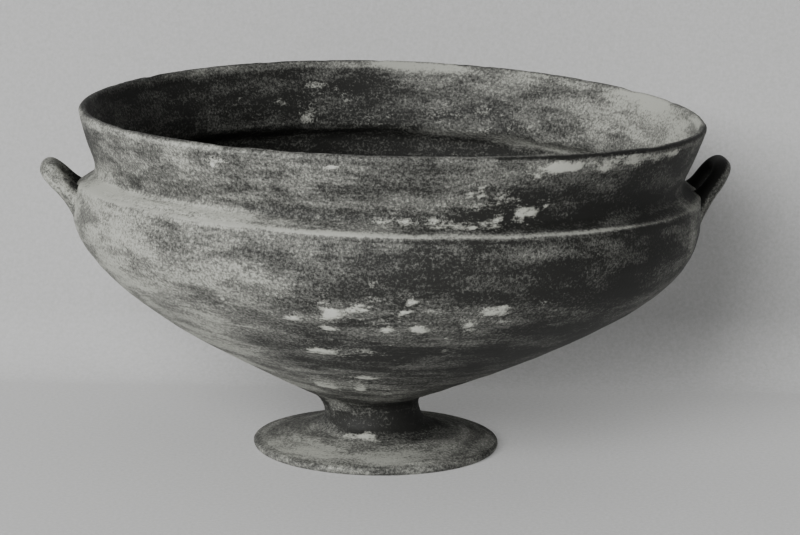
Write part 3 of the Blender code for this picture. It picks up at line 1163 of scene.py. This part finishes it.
# Crest, ledge, neck foot and lip: edges rubbed pale, with a painted highlight on the crest and the
# upward-facing ledge, and painted shade in the corners: under the crest, in the hollow of the neck foot, on
# the lip to the right and between the right handle and the neck
EDGES: tuple[Mark, ...] = (
    *marks(
        Layer.WEAR_LIGHT_AND_SHADE,
        Side.OUTSIDE,
        # Crest and ledge paler: rubbed edges, with the highlight of the upward-facing ledge and crest
        # painted in
        (270, 105.3, 1000, 1.2, 0.3, 0.6), (268, 105.4, 55, 1.1, 0.3), (224, 107.3, 56, 4, 0.5),
        (270, 108.6, 36, 2.4, 0.16), (196, 108, 26, 6, 0.3), (186, 98, 20, 11, 0.3),
        # Painted shade under the crest and in the hollow of the neck foot
        (276, 103.6, 52, 0.9, -0.25), (312, 110.5, 76, 3.4, -0.3), (262, 111.2, 40, 2, -0.1),
        # Lip paler to the left; the dark line on the lip to the right is painted shade
        (208, 132.1, 56, 1.7, 0.38), (248, 132.4, 50, 0.9, 0.22), (318, 133.1, 62, 1, -0.7),
    ),
    # Darker along the inside of the lip, painted shade on the right
    *marks(
        Layer.WEAR_LIGHT_AND_SHADE,
        Side.INSIDE,
        (316, 133.1, 64, 0.7, -0.6), (250, 132.6, 100, 1.4, -0.5),
    ),
    # Painted shadow on the ledge between the right handle and the neck; the back of the lip a little paler
    *marks(
        Layer.WEAR_LIGHT_AND_SHADE,
        Side.OUTSIDE,
        (352, 108.5, 13, 3.6, -0.6), (90, 132.8, 140, 1.4, 0.15),
    ),
    # Lime on the ledge and crest, here also a painted highlight of the upward-facing ledge
    *marks(
        Layer.LIME_AND_HIGHLIGHT,
        Side.OUTSIDE,
        (226, 106.8, 48, 2.6, 0.85), (272, 108.8, 32, 2.4, 0.5), (312, 105.4, 56, 0.7, 0.55),
    ),
    # Crest to the right: a worn pale line, with painted shade on the ledge above it and under the crest
    # below it
    *marks(
        Layer.WEAR_LIGHT_AND_SHADE,
        Side.OUTSIDE,
        (312, 105.4, 56, 0.6, 0.42), (311, 107.4, 56, 2.2, -0.26), (312, 103.4, 56, 1.4, -0.26),
    ),
)
# Inside: darker to the left and behind, dark slip mixed with painted shade where no light falls; paler to
# the right, rubbed slip mixed with painted light where the light falls; darker below the shoulder; streaked
# at the shoulder
INNER_WALL: tuple[Mark, ...] = (
    *marks(
        Layer.WEAR_LIGHT_AND_SHADE,
        Side.INSIDE,
        (128, 119, 115, 28, -0.33), (42, 125, 26, 7, 0.1), (58, 131, 26, 3, 0.3),
        (85, 131.8, 20, 2.6, 0.7), (0, 132.2, 16, 2.2, 0.5), (120, 132.2, 90, 1.8, 0.4),
        (30, 131.8, 30, 2.6, 0.34), (76, 123.2, 18, 6, 0.24), (105, 122.5, 24, 7, -0.16),
        (175, 125, 50, 16, -0.15), (14, 122, 54, 17, 0.42), (64, 105, 44, 3.2, 0.5),
        # Darker below the inner shoulder, and far down all round
        (32, 116.3, 30, 3, 0.16), (90, 70, 500, 38, -0.2), (84, 99, 40, 8, -0.3),
        (250, 119, 100, 18, -0.1),
    ),
    *marks(
        Layer.LIME_AND_HIGHLIGHT,
        Side.INSIDE,
        (107, 124.1, 6, 0.8, 0.62), (110, 116.3, 8, 0.9, 0.8), (124, 115.8, 4, 0.7, 0.7),
        (109, 109.9, 4.4, 0.9, 0.8), (136, 112.4, 6, 0.8, 0.7), (100, 117, 70, 10, 0.32),
        (62, 112, 45, 8, 0.36), (40, 117.3, 20, 2.4, 0.6),
    ),
)
# Lime: broad zones with a few scraps, then the scraps that the photograph shows one by one
DEPOSITS: tuple[Mark, ...] = (
    *marks(
        Layer.LIME_AND_HIGHLIGHT,
        Side.OUTSIDE,
        (286, 114, 28, 13, 0.5), (270, 75.5, 58, 11, 0.47), (262, 59, 28, 11, 0.5),
        (263, 37, 24, 14, 0.55), (268, 5.6, 50, 13, 0.36), (313, 129.2, 44, 3.2, 0.72),
        (100, 80, 90, 16, 0.3), (20, 120, 50, 10, 0.3), (261, 75.3, 3.9, 3, 1.1),
        (266, 78, 5.2, 1.8, 0.9), (268, 88.6, 2.1, 1.8, 0.65), (275, 82.1, 2, 1.8), (274, 77.6, 2, 1.5),
        (272, 69.9, 2.7, 2.4), (278, 69.9, 3.6, 3.4), (284, 65.7, 2.1, 2.5, 0.9), (291, 78.4, 6, 2.8),
        (287, 72.4, 2.3, 1.4, 0.9), (286, 58.9, 2.9, 1.8, 0.9), (290, 61.5, 2.7, 1.2, 0.8),
        (261, 68.9, 3.7, 1.8, 0.85), (258, 56.4, 6.2, 3, 0.8), (254, 72, 4.6, 1.7, 0.75),
        (249, 72.4, 3.4, 1.2, 0.7), (240, 76.8, 1.6, 1.3, 0.8), (252, 34, 4.7, 5.5, 0.9),
        (268, 35.1, 2.2, 5, 0.9), (270, 42.1, 4.5, 3, 0.75), (281, 31.2, 3, 4, 0.8),
        (277, 54.5, 2.1, 3.3, 0.7), (301, 85.3, 1.7, 1.2, 0.8), (300, 80.4, 2.4, 1.5, 0.6),
        (239, 128.2, 7.5, 1.7, 0.95), (238, 125.8, 2.1, 1.4, 0.9), (260, 129.2, 3.7, 1.4),
        (299, 128.3, 8.3, 2.6, 1, 0.6), (295, 126.2, 4.2, 2.6, 0.8, 0.6),
        (302, 129.7, 5.4, 2.4, 0.9, 0.6), (309, 128, 6, 2.4, 0.72), (316, 130.2, 5.8, 1.6, 0.62),
        (323, 130, 7.5, 1.6, 0.6), (329, 130.3, 7, 1.5, 0.56),
    ),
    *marks(
        Layer.WEAR_LIGHT_AND_SHADE,
        Side.OUTSIDE,
        (311, 129.6, 44, 3, 0.22),
    ),
    *marks(
        Layer.LIME_AND_HIGHLIGHT,
        Side.OUTSIDE,
        (284, 119.8, 1.4, 1.2), (286, 118.8, 1.2, 1), (286, 122.1, 1.2, 1.2, 0.9),
        (294, 111.8, 2.2, 3, 0.8, 0.6), (296, 112.3, 4.2, 1.7, 0.7, 0.6), (299, 114.7, 1.4, 1.4, 0.9),
        (303, 111.3, 2.2, 1, 0.8), (285, 107.8, 1.6, 1.2, 0.8), (289, 107.6, 2.4, 1.4, 0.8),
        (290, 110.3, 2.2, 1.2, 0.8), (247, 8.2, 6, 2.8, 0.85), (267, 8.4, 4.2, 2.8, 0.9),
        (296, 3.6, 10, 1.8, 0.7),
    ),
)
MARKS = BROAD_WEAR_AND_PAINTED_LIGHT + EDGES + INNER_WALL + DEPOSITS


def main() -> None:
    """Build the vessel, its handles and the studio, and report each."""
    logging.basicConfig(level=logging.INFO, format="%(message)s")
    PrintTone().apply()
    vessel = TurnedVessel(Outline(), Slump(), MARKS)
    # The left handle is lighter underneath as painted light; painted shade on the upper sides, near the
    # roots on the left and all along on the right, which lies in the bowl's shadow
    left = LoopHandle(
        vessel, azimuth=184.0, rise=44.0, reach=0.0162, root_below_crest=0.0062,
        wear_and_light_under=0.28, painted_shade_above=-0.55, dark_reach=0.009, dark_from=0.3,
    )
    right = LoopHandle(
        vessel, azimuth=4.0, rise=53.5, reach=0.0177, root_below_crest=0.0045,
        wear_and_light_under=0.05, painted_shade_above=-0.80,
    )
    piece = join_surfaces("kylix_vessel", [vessel.surface(), left.surface(), right.surface()])
    piece.data.materials.append(SlipWornClay().build())
    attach(piece, "root")
    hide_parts("kylix_cup")
    LOG.info("%s: %d points, %d faces", piece.name, len(piece.data.vertices), len(piece.data.polygons))
    studio = Studio()
    material = PaleSheet().build()
    paper = [studio.sheet(material), studio.floor(material)]
    studio.lights({LitPart.VESSEL: [piece], LitPart.PAPER: paper})
    for thing in (*paper, studio.camera()):
        LOG.info("%s: placed", thing.name)


if __name__ == "__main__":
    main()
